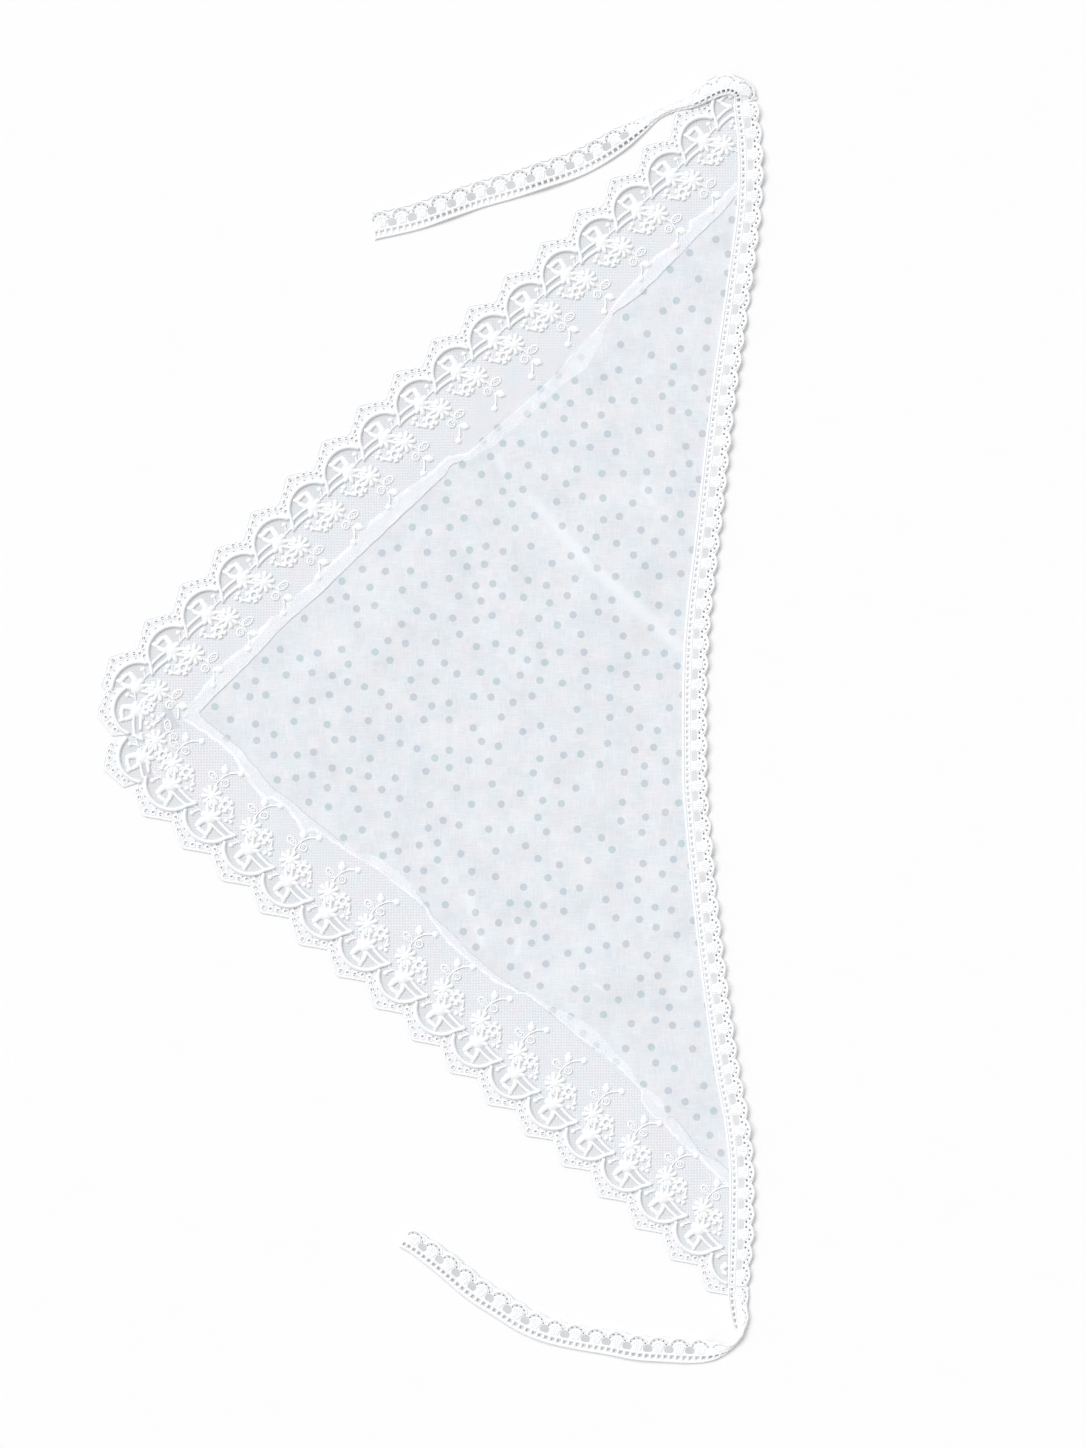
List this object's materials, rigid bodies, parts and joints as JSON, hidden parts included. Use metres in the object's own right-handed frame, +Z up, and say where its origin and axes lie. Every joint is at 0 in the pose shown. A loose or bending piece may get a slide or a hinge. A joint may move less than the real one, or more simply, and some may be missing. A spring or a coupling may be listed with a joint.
{
  "type": "triangular lace kerchief shawl with two ties",
  "caption": "Small triangular voile kerchief shawl with a scalloped tulle lace border, a narrow fan lace edging and two ties, laid flat.",
  "frame": {"origin": "on the surface the shawl lies on, below the middle of the whole piece", "axes": "+X from the left corner towards the long side, +Y along the long side towards the upper tie, +Z up"},
  "size_m": [0.3668, 0.7078, 0.0074],
  "materials": {
    "voile": "thin white cotton voile with a print of small blue-grey dots",
    "tulle_lace": "fine white tulle with satin stitch embroidery",
    "seam_allowance": "two layers of tulle and voile pressed to one side",
    "fan_lace": "white cotton lace braid"
  },
  "bodies": {
    "root": {"panel": "voile", "border_upper": "tulle_lace", "border_lower": "tulle_lace", "allowance_upper": "seam_allowance", "allowance_lower": "seam_allowance", "edging": "fan_lace", "tie_upper": "fan_lace", "tie_lower": "fan_lace"}
  },
  "joints": []
}
